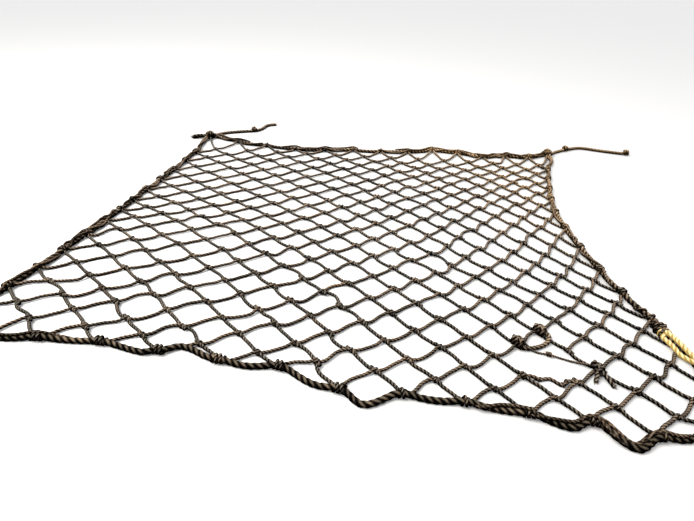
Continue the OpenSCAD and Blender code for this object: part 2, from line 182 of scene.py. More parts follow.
class Piece:
    """Collects tubes of laid rope and turns them into one mesh object."""

    def __init__(self):
        self.points, self.quads, self.ends = [], [], []
        self.lay, self.ridge, self.tone, self.sun, self.front, self.top = [], [], [], [], [], []
        self.size = 0

    def tube(self, path, diameter, around=12, strands=3, groove=0.3, tone=0.5, taper=None):
        """A rope of laid strands along a path, or a plain yarn if it has none."""
        path = np.asarray(path, float)
        count = len(path)
        ahead = np.gradient(path, axis=0)
        ahead /= np.linalg.norm(ahead, axis=1)[:, None]
        run = np.concatenate([[0], np.cumsum(np.linalg.norm(np.diff(path, axis=0), axis=1))])
        side = np.cross(ahead[0], UP)
        if np.linalg.norm(side) < 0.2:
            side = np.cross(ahead[0], [1.0, 0.0, 0.0])
        sides = np.empty_like(path)
        for i in range(count):
            side = side - ahead[i] * (side @ ahead[i])
            side = side / math.sqrt(side @ side)
            sides[i] = side
        tops = np.cross(sides, ahead)
        theta = np.arange(around) * 2 * math.pi / around
        twist = run * 2 * math.pi / (LAY_PITCH * diameter)
        start = rng.uniform(0, 6.28)
        angle = theta[None, :] + twist[:, None] + start
        ridge = np.ones((count, around))
        if strands:
            ridge = np.abs(np.cos(strands / 2 * angle)) ** 0.8
        radius = diameter / 2 * (1 - groove + groove * ridge)
        if taper is not None:
            radius = radius * np.asarray(taper)[:, None]
        cos, sin = np.cos(theta), np.sin(theta)
        shape = cos[None, :, None] * sides[:, None, :] + sin[None, :, None] * tops[:, None, :]
        self.points.append((path[:, None, :] + radius[:, :, None] * shape).reshape(-1, 3))
        i = np.arange(count - 1)[:, None] * around
        k = np.arange(around)[None, :]
        n = (k + 1) % around
        quads = np.stack([i + k, i + n, i + around + n, i + around + k], -1).reshape(-1, 4)
        self.quads.append(quads[:, ::-1] + self.size)
        self.ends.append(self.size + np.arange(around))
        self.ends.append(self.size + (count - 1) * around + np.arange(around)[::-1])
        along = np.repeat(run[:, None] + rng.uniform(0, 50), around, 1)
        round_x = np.repeat(cos[None, :], count, 0)
        round_y = np.repeat(sin[None, :], count, 0)
        self.lay.append(np.stack([along, round_x, round_y], -1).reshape(-1, 3))
        # Ridges against grooves, for painted highlights on the ridges (partly wear) and painted
        # shade between the strands
        self.ridge.append(ridge.reshape(-1))
        # How far each point faces up, for painted light on the rope's top and painted shade on its
        # underside
        self.top.append(shape[:, :, 2].reshape(-1))
        self.tone.append(np.full(count * around, tone))
        middle = np.repeat(path[:, None, :], around, 1).reshape(-1, 3)
        # The net is painted golden towards its far right, a painted pool of sunlight, and is darker
        # towards its front left
        self.sun.append(np.clip((middle[:, 0] * 1.1 + middle[:, 1] - 0.9) / 1.3, 0, 1))
        self.front.append(np.clip(0.1 - middle[:, 1] - 0.25 * middle[:, 0], 0, 1))
        self.size += count * around

    def wind(self, middle, axis, side, diameter, around, tone, **shape):
        """A rope wound round an axis, with the shape of its turns as helix takes it."""
        self.tube(helix(middle, axis, side, **shape), diameter, around, tone=tone)

    def fibres(self, tip, way, diameter, count, length, tone):
        """Loose yarns that splay from a cut end."""
        for _ in range(count):
            spread = rng.normal(0, 0.32, 3)
            out = unit(way + spread)
            start = tip + rng.normal(0, diameter * 0.2, 3)
            reach = length * rng.uniform(0.5, 1)
            bend = rng.normal(0, 0.25, 3)
            path = np.array([start, start + out * reach * 0.5, start + unit(out + bend) * reach])
            path[:, 2] = np.maximum(path[:, 2], YARN_Z)
            path = smooth_path(path, reach / 5)
            self.tube(path, YARN_D, 4, 0, 0, tone, np.linspace(1, 0.3, len(path)))

    def make(self, name, material, slot, *nodes, body=None):
        """One mesh object of all the tubes, in place of CAD nodes or as an extra on a body."""
        mesh = bpy.data.meshes.new(name)
        points = np.concatenate(self.points)
        points[:, 2] = np.maximum(points[:, 2], GROUND_GAP)
        quads = np.concatenate(self.quads)
        mesh.vertices.add(len(points))
        mesh.vertices.foreach_set("co", points.astype(np.float32).reshape(-1))
        ends = np.concatenate(self.ends)
        sizes = np.concatenate([np.full(len(quads), 4), [len(e) for e in self.ends]])
        corners = np.concatenate([quads.reshape(-1), ends])
        mesh.loops.add(len(corners))
        mesh.loops.foreach_set("vertex_index", corners.astype(np.int32))
        mesh.polygons.add(len(sizes))
        starts = np.concatenate([[0], np.cumsum(sizes)[:-1]])
        mesh.polygons.foreach_set("loop_start", starts.astype(np.int32))
        mesh.polygons.foreach_set("loop_total", sizes.astype(np.int32))
        mesh.update(calc_edges=True)
        mesh.validate()
        mesh.polygons.foreach_set("use_smooth", np.ones(len(mesh.polygons), bool))
        lay = mesh.attributes.new("lay", "FLOAT_VECTOR", "POINT")
        lay.data.foreach_set("vector", np.concatenate(self.lay).astype(np.float32).reshape(-1))
        for key in ("ridge", "tone", "sun", "front", "top"):
            layer = mesh.attributes.new(key, "FLOAT", "POINT")
            layer.data.foreach_set("value", np.concatenate(getattr(self, key)).astype(np.float32))
        mesh.materials.append(material)
        piece = bpy.data.objects.new(name, mesh)
        bpy.context.scene.collection.objects.link(piece)
        if nodes:
            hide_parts(*nodes)
        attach(piece, body or body_of[nodes[0]])
        return piece


# ---- The frame's own knots and bars ----


def islands(node):
    """The separate solids of a CAD node, as arrays of points."""
    work = bmesh.new()
    work.from_mesh(frame["nodes"][node].data)
    bmesh.ops.remove_doubles(work, verts=work.verts, dist=1e-5)
    work.verts.ensure_lookup_table()
    seen = np.zeros(len(work.verts), bool)
    found = []
    for first in work.verts:
        if seen[first.index]:
            continue
        seen[first.index] = True
        stack, group = [first], []
        while stack:
            v = stack.pop()
            group.append(v.co[:])
            for e in v.link_edges:
                w = e.other_vert(v)
                if not seen[w.index]:
                    seen[w.index] = True
                    stack.append(w)
        found.append(np.array(group))
    work.free()
    return found


def middle_of(points):
    return (points.min(0) + points.max(0)) / 2


def is_ball(points, diameter):
    return np.ptp(points, axis=0).max() < diameter * 1.08


def ends_of(points):
    """The two ends of a straight bar."""
    centre = points.mean(0)
    axis = np.linalg.svd(points - centre, full_matrices=False)[2][0]
    along = (points - centre) @ axis
    return centre + axis * along.min(), centre + axis * along.max()


def row_name(r):
    return f"netting_row_{r:02d}"


def hitch_name(strip):
    return f"border_hitches_{strip}"


class Crossing:
    """A place where ropes meet: a netting knot, a large knot, a border hitch or a corner."""

    def __init__(self, at, kind, node):
        self.at = at
        self.kind = kind
        self.node = node
        self.bars = []

    def level(self):
        heights = {"knot": KNOT_Z, "large": LARGE_KNOT_Z, "hitch": HITCH_Z, "corner": CORNER_Z}
        return lifted(self.at, heights[self.kind])


class Bar:
    """A stretch of netting rope from the crossing farther back to the nearer one."""

    def __init__(self, back, front, row):
        self.back = back
        self.front = front
        self.row = row
        self.falls_right = front.at[0] > back.at[0]
        back.bars.append(self)
        front.bars.append(self)


def read_crossings():
    """The crossings of the whole net, and each bar of the netting as two ends and a row."""
    found = []
    bars = []
    for r in range(1, ROWS + 1):
        node = row_name(r)
        for points in islands(node):
            if is_ball(points, MESH_KNOT_D):
                found.append(Crossing(middle_of(points), "knot", node))
            else:
                bars.append((*ends_of(points), r))
    for strip in range(1, STRIPS + 1):
        node = hitch_name(strip)
        found += [Crossing(middle_of(points), "hitch", node) for points in islands(node)]
    for node in CORNER_KNOTS:
        found.append(Crossing(middle_of(islands(node)[0]), "corner", node))
    for points in islands("mend_knots"):
        found.append(Crossing(middle_of(points), "large", "mend_knots"))
    return found, bars


# How near to a bar's line the crossing at its end is, and how far past the end it can be
OFF_LINE = 0.003
PAST_END = 0.3
# A bar between hitches is level if its ends differ by less than this towards the back
LEVEL_BAR = 0.02


def crossing_past(end, way, places, crossings):
    """The crossing that a bar's end points at."""
    gaps = places - end[:2]
    along = gaps @ way
    off = np.abs(gaps @ np.array([-way[1], way[0]]))
    along[(off > OFF_LINE) | (along < 0) | (along > PAST_END)] = np.inf
    nearest = int(along.argmin())
    return crossings[nearest] if along[nearest] < np.inf else None


def join_bars(crossings, raw):
    """The bars with the crossings at their ends, the one farther back first."""
    places = np.array([c.at[:2] for c in crossings])
    bars = []
    for a, b, r in raw:
        way = unit((b - a)[:2])
        start = crossing_past(a, -way, places, crossings)
        end = crossing_past(b, way, places, crossings)
        if start is None or end is None:
            print("bar without a crossing", r, a, b)
            continue
        pair = sorted([start, end], key=lambda c: -c.at[1])
        if "hitch" in (start.kind, end.kind) and abs(start.at[1] - end.at[1]) < LEVEL_BAR:
            pair = [start, end] if r % 2 else [end, start]
        bars.append(Bar(pair[0], pair[1], r))
    return bars


def ways_at(crossing):
    """Unit directions of the two ropes that meet: falling to the right, and rising to the right."""
    falls, rises = np.zeros(2), np.zeros(2)
    for bar in crossing.bars:
        way = unit((bar.front.at - bar.back.at)[:2])
        if bar.falls_right:
            falls += way
        else:
            rises -= way
    falls = falls if np.linalg.norm(falls) > 0 else np.array([0.8, -0.6])
    rises = rises if np.linalg.norm(rises) > 0 else np.array([0.8, 0.6])
    return np.append(unit(falls), 0), np.append(unit(rises), 0)


# ---- Netting ----

# Half the length of a knot's turns, their radius, and the rope in them, which is drawn thin
KNOT_HALF = 0.009
KNOT_TURN_R = 0.0094
KNOT_ROPE_D = 0.0138


def bar_path(bar):
    """A slack bar, which sinks to the ground between its knots."""
    back, front = bar.back.level(), bar.front.level()
    fall_b, rise_b = ways_at(bar.back)
    fall_f, rise_f = ways_at(bar.front)
    length = np.linalg.norm(front - back)
    # The net is slackest at the front left, and a few bars are much looser than the rest
    loose = 0.6 + 0.4 * min(1, bar.row / 22) + 0.7 * max(0, bar.row - 17) / 10 * (back[0] < 0.2)
    loose *= 2.0 if rng.random() < 0.12 else 1.0
    if bar.falls_right:
        way_b = fall_b if bar.back.kind == "knot" else unit(front - back)
        way_f = fall_f if bar.front.kind == "knot" else unit(front - back)
        sway = 0.005 * loose
    else:
        # The rising rope turns round the falling one, and leaves it on the other side
        if bar.back.kind == "knot":
            back = back - fall_b * KNOT_HALF * 0.5
            way_b = unit(-rise_b - 0.2 * fall_b)
        else:
            way_b = unit(front - back)
        if bar.front.kind == "knot":
            front = front + fall_f * KNOT_HALF * 0.5
            way_f = unit(-rise_f - 0.2 * fall_f)
        else:
            way_f = unit(front - back)
        sway = 0.009 * loose
    count = max(10, int(length / 0.0062))
    path = hermite(back, front, way_b * length * 0.9, way_f * length * 0.9, count)
    t = np.linspace(0, 1, count)
    across = unit(np.cross(UP, front - back))
    arc, wave = np.sin(math.pi * t), np.sin(2 * math.pi * t)
    path += across * (
        arc[:, None] * rng.normal(0, sway) + wave[:, None] * rng.normal(0, sway * 0.35)
    )
    sag = np.clip(1.35 * arc, 0, 1) ** 1.2
    lift = rng.uniform(0, 0.006) * arc
    level = back[2] + (front[2] - back[2]) * t
    path[:, 2] = level + (NETTING_LIE - level) * sag + lift
    return path


def add_bar(piece, bar):
    """A bar of rope: dark if it falls to the right and pale if it rises, painted shade and painted
    light by its way, and darker at the front.
    """
    tone = rng.normal(0.12 if bar.falls_right else 0.72, 0.12) - 0.012 * max(0, bar.row - 12)
    piece.tube(bar_path(bar), NETTING_D * rng.uniform(0.94, 1.05), 12, tone=np.clip(tone, 0, 1))


def add_knot(piece, crossing):
    """The rising rope makes a turn and a half round the falling one, or one turn more."""
    falls, rises = ways_at(crossing)
    at = crossing.level()
    across = np.cross(UP, falls)
    across = across if across @ rises > 0 else -across
    turns = 1.5 if rng.random() < 0.85 else 2.5
    swell = rng.uniform(0.9, 1.08)
    half = KNOT_HALF if turns == 1.5 else KNOT_HALF * 1.5
    path = helix(at, falls, -across, KNOT_TURN_R * swell, turns, 2 * half, step=0.0045, flat=0.9)
    ends = np.interp(np.linspace(0, 1, len(path)), [0, 0.18, 0.82, 1], [0.55, 1, 1, 0.55])
    tone = np.clip(rng.normal(0.3, 0.15), 0, 1)
    piece.tube(path, KNOT_ROPE_D * swell, 9, tone=tone, taper=ends)
    # The falling rope bulges in the turns' middle
    core = np.array([at - falls * 0.03, at, at + falls * 0.03])
    # The falling rope keeps the falling bars' dark tone, their painted shade
    tone = np.clip(rng.normal(0.12, 0.08), 0, 1)
    piece.tube(smooth_path(core, STEP), NETTING_D, 10, tone=tone)


def netting_row(r, bars, crossings):
    piece = Piece()
    node = row_name(r)
    for bar in bars:
        if bar.row == r:
            add_bar(piece, bar)
    for crossing in crossings:
        if crossing.node == node:
            add_knot(piece, crossing)
    return piece.make(f"rope_row_{r:02d}", NETTING, "netting_rope", node)


# ---- Border ----

# A hitch's turns round the border rope: their radius, and the run along the rope that each takes
HITCH_TURN_R = 0.0172
HITCH_TURN_RUN = 0.018
# The wound ropes of a side strip stay this far off its fold lines
FOLD_ROOM = 0.03
# How many of the wound ropes are left out, by lane
LEFT_OUT_NEAR = (0.62, 0.9)
LEFT_OUT = (0.2, 0.45)


def outline(crossings):
    """The hitches and corners in order, clockwise from above, from the far left corner."""
    edge = [c for c in crossings if c.kind in ("hitch", "corner")]
    edge.sort(key=lambda c: -math.atan2(c.at[1], c.at[0]))
    first = next(i for i, c in enumerate(edge) if c.node == "corner_knot_far_left")
    return edge[first:] + edge[:first]


def stretches(edge):
    """The hitches of each length of border rope: the far and near sides, and each side's strips."""
    corners = [i for i, c in enumerate(edge) if c.kind == "corner"] + [len(edge)]
    ring = edge + edge[:1]
    far = ring[corners[0] : corners[1] + 1]
    right = ring[corners[1] : corners[2] + 1]
    near = ring[corners[2] : corners[3] + 1]
    left = ring[corners[3] : corners[4] + 1][::-1]
    runs = [("far_border_rope", far), ("near_border_rope", near)]
    for name, side in (("right", right), ("left", left)):
        for strip in range(1, STRIPS + 1):
            own = [i for i, c in enumerate(side) if c.node == hitch_name(strip)]
            lo, hi = own[0] - 1, own[-1] + (strip == STRIPS)
            runs.append((f"{name}_border_rope_{strip}", side[lo : hi + 1]))
    return runs


def tangents(edge):
    """The border's direction at each of its hitches."""
    ways = {}
    for i, c in enumerate(edge):
        before, after = edge[i - 1].at, edge[(i + 1) % len(edge)].at
        ways[id(c)] = unit((after - before) * [1, 1, 0])
    return ways


# Where the near border swings out between two hitches, and how far, from right to left
NEAR_SWINGS = [
    (0.5, 0.015), (0.5, 0.02), (0.42, 0.070), (0.36, 0.040), (0.5, 0.004),
    (0.5, 0.010), (0.6, 0.056), (0.45, 0.018), (0.5, 0.018), (0.7, -0.045),
    (0.25, 0.020), (0.5, 0.004), (0.5, 0.012), (0.5, 0.012),
]


def swing_of(name, i):
    """Where between two hitches the rope is furthest out, and by how much."""
    if name == "near_border_rope":
        return NEAR_SWINGS[min(i, len(NEAR_SWINGS) - 1)]
    return rng.uniform(0.35, 0.65), rng.normal(0.004, 0.006)


def border_path(name, run, ways):
    """The rope's line through its hitches, lying on the ground between them."""
    way = [ways[id(c)] for c in run]
    if (run[-1].at - run[0].at) @ way[0] < 0:
        way = [-w for w in way]
    parts = []
    for k, (c, d, way_c, way_d) in enumerate(zip(run, run[1:], way, way[1:])):
        p, q = c.level(), d.level()
        length = np.linalg.norm(q - p)
        count = max(6, int(length / 0.0085))
        part = hermite(p, q, way_c * length, way_d * length, count)
        t = np.linspace(0, 1, count)
        sag = np.clip(1.3 * np.sin(math.pi * t), 0, 1)
        part[:, 2] += (BORDER_LIE - part[:, 2]) * sag
        share, reach = swing_of(name, k)
        outward = np.cross(UP, q - p)
        outward = unit(outward if outward @ p > 0 else -outward)
        rise = np.where(t < share, t / share, (1 - t) / (1 - share))
        part += outward * reach * (np.sin(rise * math.pi / 2) ** 2)[:, None]
        parts.append(part[:-1])
    parts.append(run[-1].level()[None, :])
    return np.concatenate(parts)


def beside(path, distance, angle):
    """A line that keeps a distance from the path, at an angle from its inner side."""
    ahead = np.gradient(path, axis=0)
    ahead[:, 2] = 0
    ahead /= np.linalg.norm(ahead, axis=1)[:, None]
    inner = np.cross(UP, ahead)
    toward_net = -path * [1, 1, 0]
    inner *= np.sign((inner * toward_net).sum(1))[:, None]
    return path + distance * (inner * np.cos(angle)[:, None] + UP * np.sin(angle)[:, None])


# The line that each border rope took, for what is tied beside it
border_lines = {}


def wound_ropes(piece, name, path):
    """Netting ropes that run beside the border rope for much of the way, wound loosely round it."""
    near = name == "near_border_rope"
    places = np.cumsum(np.append(0, np.linalg.norm(np.diff(path, axis=0), axis=1)))
    room = FOLD_ROOM if "_border_rope_" in name else 0.0
    for lane in (0, 1):
        cuts = [0.0]
        while cuts[-1] < places[-1]:
            cuts.append(cuts[-1] + rng.uniform(0.18, 0.42))
        left_out = (LEFT_OUT_NEAR if near else LEFT_OUT)[lane]
        for a, b in zip(cuts, cuts[1:]):
            if rng.random() < left_out:
                continue
            pick = (places >= max(a - 0.02, room)) & (places <= min(b + 0.02, places[-1] - room))
            if pick.sum() < 6:
                continue
            part = path[pick]
            swing = rng.uniform(2.0, 3.2) * np.linspace(0, 1, len(part)) + rng.uniform(0, 3)
            angle = 0.75 + 0.85 * np.sin(swing * 2) + lane * 1.1
            reach = (BORDER_D + NETTING_D) / 2 * (0.8 + 0.12 * lane)
            line = beside(part, reach, angle)
            line[:, 2] = np.maximum(line[:, 2], NETTING_LIE)
            ends = np.interp(np.linspace(0, 1, len(line)), [0, 0.08, 0.92, 1], [0.5, 1, 1, 0.5])
            tone = np.clip(rng.normal(0.2 if near else 0.42, 0.18), 0, 1)
            piece.tube(line, NETTING_D * rng.uniform(0.92, 1.12), 12, tone=tone, taper=ends)


def wound_bundle(piece, path):
    """Netting rope wound thickly round the border where the yellow lashing begins."""
    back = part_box("yellow_lashing")[1][1]
    i = int(np.abs(path[:, 1] - back + 0.01).argmin())
    axis = unit(path[i + 2] - path[i - 2])
    skew = axis + [0.5, 0.3, 0]
    piece.wind(
        path[i] + UP * 0.006, axis, UP, diameter=NETTING_D, around=12, tone=0.55,
        radius=0.0225, turns=3.6, length=0.085, flat=0.9,
    )
    piece.wind(
        path[i] + UP * 0.008, skew, UP, diameter=NETTING_D, around=12, tone=0.35,
        radius=0.027, turns=1.5, length=0.05, flat=0.9,
    )


def border(name, run, ways):
    piece = Piece()
    path = border_path(name, run, ways)
    border_lines[name] = path
    piece.tube(path, BORDER_D, 18, tone=0.05 if name == "near_border_rope" else 0.3)
    if name == LASHED_BORDER:
        wound_bundle(piece, path)
    else:
        wound_ropes(piece, name, path)
    return piece.make(name.replace("border_rope", "border_line"), BORDER, "border_rope", name)


def hitches(strip, crossings, ways):
    """The netting rope's turns round the border rope at each hitch."""
    node = hitch_name(strip)
    piece = Piece()
    for c in crossings:
        if c.node != node:
            continue
        axis = ways[id(c)]
        side = -unit(c.at * [1, 1, 0])
        turns = rng.choice([1.5, 2.5, 2.5])
        tone = np.clip(rng.normal(0.2, 0.12), 0, 1)
        run = HITCH_TURN_RUN * turns
        piece.wind(
            c.level(), axis, side, diameter=NETTING_D * 0.9, around=10, tone=tone,
            radius=HITCH_TURN_R, turns=turns, length=run, flat=0.88,
        )
    return piece.make(f"hitch_turns_{strip}", NETTING, "hitch_rope", node)


def corner_knot(node, crossings, ways):
    """A bulky knot of the border rope: turns one way, and a turn across them."""
    corner = next(c for c in crossings if c.node == node)
    at = lifted(corner.at, CORNER_TURNS_Z)
    axis = ways[id(corner)]
    inward = -unit(corner.at * [1, 1, 0])
    piece = Piece()
    piece.wind(
        at, axis, inward, diameter=0.0265, around=14, tone=0.25,
        radius=0.0235, turns=2.5, length=0.06, step=0.007,
    )
    piece.wind(
        at, np.cross(UP, axis), UP, diameter=0.025, around=14, tone=0.36,
        radius=0.0255, turns=1.5, length=0.024, step=0.007,
    )
    return piece.make(node + "_turns", BORDER, "border_rope", node)


def bitter_end():
    """The swollen, black cut end of the border rope."""
    low, high = (np.array(v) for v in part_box("border_bitter_end"))
    y = (low[1] + high[1]) / 2
    root = np.array([high[0] + 0.02, y, 0.03])
    tip = np.array([low[0] + 0.012, y - 0.004, BORDER_D / 2 + 0.001])
    piece = Piece()
    path = smooth_path([root, (root + tip) / 2 + [0, 0.006, 0.004], tip], 0.007)
    swell = np.interp(np.linspace(0, 1, len(path)), [0, 0.5, 0.85, 1], [1.1, 1.35, 1.3, 1.0])
    path[:, 2] = np.maximum(path[:, 2], BORDER_D / 2 * swell)
    piece.tube(path, BORDER_D, 16, tone=0.0, taper=swell)
    piece.fibres(tip, unit(tip - root), BORDER_D, 26, 0.022, 0.1)
    return piece.make("border_cut_end", BORDER, "border_rope", "border_bitter_end")


# ---- Tie ropes ----

# Routes from each far corner's middle, as in the CAD source
LEFT_ROUTE = [
    (0.013, 0.038), (0.025, 0.070), (0.065, 0.120), (0.120, 0.160), (0.185, 0.190),
    (0.250, 0.215), (0.300, 0.235), (0.345, 0.255), (0.385, 0.285), (0.408, 0.335),
    (0.418, 0.385), (0.438, 0.430), (0.472, 0.458), (0.510, 0.470),
]
RIGHT_ROUTE = [
    (0.031, 0.026), (0.060, 0.050), (0.110, 0.095), (0.165, 0.135), (0.225, 0.175),
    (0.290, 0.210), (0.355, 0.240), (0.410, 0.245), (0.465, 0.232), (0.520, 0.212),
    (0.575, 0.195), (0.630, 0.180), (0.690, 0.165), (0.745, 0.155),
]
# The points of the routes at which their overhand knots are tied
LEFT_KNOT_AT = 7
RIGHT_KNOT_AT = 4


def tether(name, corner, route, far_end, others):
    """A tie rope from its corner knot, with a frayed end if its far end is bare."""
    start = middle_of(islands(corner)[0])
    path = smooth_path([lifted(start[:2] + p, TETHER_LIE) for p in route], 0.008)
    piece = Piece()
    piece.tube(path, TETHER_D, 16, tone=0.6, groove=0.22)
    rope = piece.make(name + "_rope", TIE, "tether_rope", name)
    if far_end == "bare":
        out = unit(path[-1] - path[-2])
        fray = Piece()
        fray.fibres(path[-1] - out * 0.004, out, TETHER_D, 30, 0.02, 0.7)
        others.append(fray.make(name + "_frayed_end", TIE, "tether_rope", body=body_of[name]))
    return rope


def tether_knot(node, route, i):
    """An overhand knot: two turns round the rope and one over them."""
    at = lifted(middle_of(islands(node)[0]), TETHER_KNOT_Z)
    way = unit(np.append(np.subtract(route[i + 1], route[i - 1]), 0))
    skew = unit(way + 0.8 * np.cross(UP, way))
    piece = Piece()
    # The rope inside the knot
    core = [
        lifted(at - way * 0.05, TETHER_LIE),
        lifted(at - way * 0.022, TETHER_LIE + 0.004),
        lifted(at + way * 0.02, TETHER_LIE + 0.006),
    ]
    piece.tube(smooth_path(core, STEP), TETHER_D * 0.99, 16, tone=0.6, groove=0.22)
    piece.wind(
        at, way, UP, diameter=0.0245, around=13, tone=0.55,
        radius=0.0168, turns=1.75, length=0.042, flat=0.85,
    )
    piece.wind(
        at, skew, UP, diameter=0.022, around=13, tone=0.7,
        radius=0.0175, turns=1.0, length=0.012, flat=0.85,
    )
    return piece.make(node + "_turns", TIE, "tether_rope", node)


# ---- Repairs ----


def yellow_lashing():
    """A doubled yellow rope along the border's inside and top, drawn round it at the back."""
    low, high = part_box("yellow_lashing")
    knot = middle_of(islands("yellow_knot")[0])
    border_line = border_lines[LASHED_BORDER]
    y = border_line[:, 1]
    part = border_line[(y > low[1] + 0.03) & (y < high[1] - 0.05)]
    if part[0][1] < part[-1][1]:
        part = part[::-1]
    thick = YELLOW_D * 1.06
    wave = 0.15 * np.sin(np.linspace(0, 7, len(part)))
    piece = Piece()
    for lane, angle in enumerate((0.12, 1.42)):
        line = beside(part, (BORDER_D + thick) / 2 * 0.95, angle + wave)
        line[:, 2] = np.maximum(line[:, 2], thick / 2 + LYING)
        first = part[0] + [0.004 - lane * 0.012, 0.022, 0.016]
        last = lifted(knot + [-0.016, 0.012 - lane * 0.02, 0], 0.036)
        path = smooth_path(np.concatenate([[first], line[2:-2:4], [last]]), STEP)
        piece.tube(path, thick, 14, tone=0.4 + 0.3 * lane, groove=0.26)
    # The bight goes round the border rope
    axis = unit(part[0] - part[2])
    at = part[0] + [0, 0.016, 0.004]
    piece.wind(
        at, axis, UP, diameter=YELLOW_D * 0.82, around=12, tone=0.6,
        radius=0.0225, turns=1.6, length=0.03, flat=0.9,
    )
    for way in (np.array([-0.8, -0.5, 0.0]), np.array([0.9, -0.3, 0.0])):
        piece.fibres(part[0] + way * 0.02 + UP * 0.01, way, YELLOW_D, 12, 0.02, 0.8)
    return piece.make("yellow_rope", YELLOW, "yellow_rope", "yellow_lashing")


def yellow_knot():
    at = lifted(middle_of(islands("yellow_knot")[0]), YELLOW_KNOT_Z)
    piece = Piece()
    piece.wind(
        at, np.array([0.9, 0.5, 0.0]), UP, diameter=0.0205, around=13, tone=0.55,
        radius=0.0215, turns=2.4, length=0.05,
    )
    piece.wind(
        at, np.array([-0.5, 0.9, 0.0]), UP, diameter=0.0195, around=13, tone=0.35,
        radius=0.0235, turns=1.5, length=0.026,
    )
    for way in (np.array([0.9, -0.45, 0.0]), np.array([0.5, -0.85, 0.0])):
        tail = [at + way * 0.012, at + way * 0.03 - UP * 0.012, at + way * 0.046 - UP * 0.02]
        piece.tube(smooth_path(tail, STEP), YELLOW_D * 0.9, 12, tone=0.5)
        piece.fibres(tail[-1], way, YELLOW_D, 34, 0.024, 0.7)
    return piece.make("yellow_knot_turns", YELLOW, "yellow_rope", "yellow_knot")


def mend_knots(crossings):
    """The two large knots of the mend."""
    piece = Piece()
    for c in crossings:
        if c.kind != "large":
            continue
        at = c.level()
        falls, rises = ways_at(c)
        piece.wind(
            at, falls, UP, diameter=0.0205, around=12, tone=0.55,
            radius=0.0185, turns=2.5, length=0.046, flat=0.95,
        )
        piece.wind(
            at, rises, UP, diameter=0.0195, around=12, tone=0.68,
            radius=0.0215, turns=1.5, length=0.026, flat=0.95,
        )
    return piece.make("mend_knot_turns", NETTING, "netting_rope", "mend_knots")


def mend_loop(crossings):
    """The slack of the mend: a bight between the two large knots, on the hole's side."""
    a, b = sorted((c.level() for c in crossings if c.kind == "large"), key=lambda p: -p[0])
    hole = unit((middle_of(islands("mend_cord_knot")[0]) - (a + b) / 2) * [1, 1, 0])
    line = [
        a,
        lifted(a + hole * 0.035 + [0.014, 0, 0], 0.020),
        lifted(a * 0.8 + b * 0.2 + hole * 0.064, 0.013),
        lifted(a * 0.35 + b * 0.65 + hole * 0.056, 0.013),
        lifted(b + hole * 0.030, 0.018),
        b,
    ]
    piece = Piece()
    piece.tube(smooth_path(line, STEP), NETTING_D * 1.25, 12, tone=0.85)
    return piece.make("mend_slack_loop", NETTING, "netting_rope", body=body_of["mend_knots"])


def mend_double_knot():
    """The dark end of the mend: two hitches over the cord's tied end, with two cut stubs."""
    parts = [ends_of(points) for points in islands("mend_cord")]
    tips = sorted((p for part in parts for p in part), key=lambda p: p[0])
    at = lifted(tips[-1] + np.array([0.012, -0.008, 0.0]), DOUBLE_KNOT_Z)
    toward = np.array([0.25, -0.97, 0.0])
    piece = Piece()
    across = np.cross(UP, toward)
    piece.wind(
        at, toward, UP, diameter=NETTING_D, around=12, tone=0.0,
        radius=0.0155, turns=2.5, length=0.05, step=0.005, flat=0.9,
    )
    piece.wind(
        at, across, UP, diameter=NETTING_D, around=12, tone=0.1,
        radius=0.0175, turns=1.5, length=0.024, step=0.005, flat=0.9,
    )
    for out, reach in (([-0.45, -0.9, 0.0], 0.075), ([0.35, -0.94, 0.0], 0.095)):
        way = np.array(out)
        stub = [at, lifted(at + way * reach * 0.5, 0.02), lifted(at + way * reach, 0.0105)]
        piece.tube(smooth_path(stub, STEP), NETTING_D * 1.15, 12, tone=0.05)
        piece.fibres(stub[-1], way, NETTING_D, 10, 0.014, 0.2)
    return piece.make("mend_double_knot", NETTING, "netting_rope", body=body_of["mend_cord"])


def mend_cord():
    """A thin cord tied across the hole."""
    parts = [ends_of(points) for points in islands("mend_cord")]
    knot = middle_of(islands("mend_cord_knot")[0])
    piece = Piece()
    for a, b in parts:
        near, far = sorted((a, b), key=lambda p: np.linalg.norm(p - knot))
        out = unit(far - near)
        start = lifted(near - out * 0.012, 0.012)
        low = (near + far) / 2 + np.cross(UP, out) * 0.006
        line = [
            start,
            lifted(low, CORD_D / 2 + 0.003),
            lifted(far, 0.03),
            lifted(far + out * 0.012, 0.034),
        ]
        piece.tube(smooth_path(line, 0.004), CORD_D, 10, tone=0.6)
    return piece.make("mend_cord_line", CORD, "mend_cord", "mend_cord")


def mend_cord_knot():
    at = lifted(middle_of(islands("mend_cord_knot")[0]), CORD_KNOT_Z)
    piece = Piece()
    piece.wind(
        at, np.array([0.9, -0.4, 0.0]), UP, diameter=0.0082, around=9, tone=0.7,
        radius=0.0078, turns=2.5, length=0.020, step=0.003,
    )
    piece.wind(
        at, np.array([0.4, 0.9, 0.0]), UP, diameter=0.0078, around=9, tone=0.6,
        radius=0.0088, turns=1.5, length=0.010, step=0.003,
    )
    for way in (np.array([-0.3, 0.9, 0.0]), np.array([0.4, -0.8, 0.0])):
        piece.fibres(at + way * 0.008, way, CORD_D, 8, 0.02, 0.8)
    return piece.make("mend_cord_knot_turns", CORD, "mend_cord", "mend_cord_knot")


